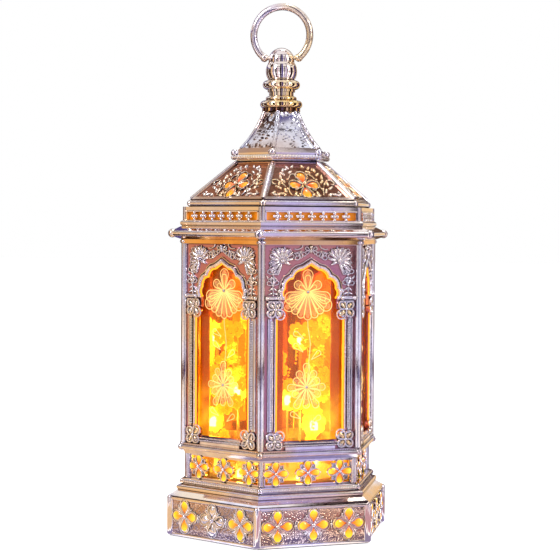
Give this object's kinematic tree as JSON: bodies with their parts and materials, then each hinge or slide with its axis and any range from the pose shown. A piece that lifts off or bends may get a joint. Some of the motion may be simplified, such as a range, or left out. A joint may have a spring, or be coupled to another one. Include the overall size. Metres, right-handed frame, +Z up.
{
  "type": "ramadan fanous lantern",
  "caption": "Hexagonal chrome-plated fanous lantern with arched amber windows, pierced flower bands, a spired roof, inner lamps, a battery base and a swinging hanging ring.",
  "frame": {"origin": "on the plane it rests on, below the middle of the hexagonal plinth", "axes": "+Z up along the lantern's axis; two corners of the hexagon point along -Y and +Y, and the faces of windows 1 and 4 look along +X and -X; the hanging ring swings about an axis along X"},
  "size_m": [0.109, 0.1252, 0.283],
  "materials": {
    "chrome_plate": "moulded ABS, electroplated bright chrome",
    "warm_plate": "moulded ABS, electroplated pale gold",
    "amber_pane": "clear amber acrylic, engraved",
    "amber_liner": "clear amber acrylic",
    "lamp": "clear epoxy, lit",
    "lamp_stem": "tinned wire",
    "board": "white solder mask",
    "dark_plastic": "moulded, fine texture",
    "knob_plastic": "moulded",
    "steel": "zinc plated",
    "cell": "printed sleeve, plain",
    "lead": "insulated wire"
  },
  "bodies": {
    "lantern": {"finial_head": "chrome_plate", "spire": "chrome_plate", "roof_shell": "chrome_plate", "frieze_ring": "chrome_plate", "eave_ring": "chrome_plate", "body_frame": "chrome_plate", "window_panel_1": "chrome_plate", "window_panel_2": "chrome_plate", "window_panel_3": "chrome_plate", "window_panel_4": "chrome_plate", "window_panel_5": "chrome_plate", "window_panel_6": "chrome_plate", "sill_ring": "chrome_plate", "lower_band": "chrome_plate", "base_steps": "chrome_plate", "base_shell": "chrome_plate", "finial_neck": "warm_plate", "collar_ring": "warm_plate", "window_pane_1": "amber_pane", "window_pane_2": "amber_pane", "window_pane_3": "amber_pane", "window_pane_4": "amber_pane", "window_pane_5": "amber_pane", "window_pane_6": "amber_pane", "roof_liner": "amber_liner", "frieze_liner": "amber_liner", "lower_liner": "amber_liner", "base_liner": "amber_liner", "band_lamps": "lamp", "lamp_bulb_1": "lamp", "lamp_bulb_2": "lamp", "lamp_bulb_3": "lamp", "lamp_bulb_4": "lamp", "lamp_bulb_5": "lamp", "lamp_bulb_6": "lamp", "lamp_stem_1": "lamp_stem", "lamp_stem_2": "lamp_stem", "lamp_stem_3": "lamp_stem", "lamp_stem_4": "lamp_stem", "lamp_stem_5": "lamp_stem", "lamp_stem_6": "lamp_stem", "lamp_board": "board", "lamp_deck": "dark_plastic", "base_plate": "dark_plastic", "battery_box": "dark_plastic", "switch_body": "dark_plastic", "finial_screw": "steel", "base_screws": "steel", "contact_springs": "steel", "contact_plates": "steel", "battery_cells": "cell", "supply_leads": "lead"},
    "ring": {"hanging_ring": "chrome_plate"},
    "battery_cover": {"battery_door": "dark_plastic"},
    "switch": {"switch_knob": "knob_plastic"}
  },
  "joints": [
    {"name": "ring_swing", "type": "hinge", "parent": "lantern", "child": "ring", "pos_m": [0, 0, 0.2539], "axis": [1, 0, 0], "range_deg": [-130, 130]},
    {"name": "cover_slide", "type": "slide", "parent": "lantern", "child": "battery_cover", "axis": [0, 1, 0], "range_m": [0, 0.01]},
    {"name": "switch_slide", "type": "slide", "parent": "lantern", "child": "switch", "axis": [0, 1, 0], "range_m": [0, 0.004]}
  ]
}
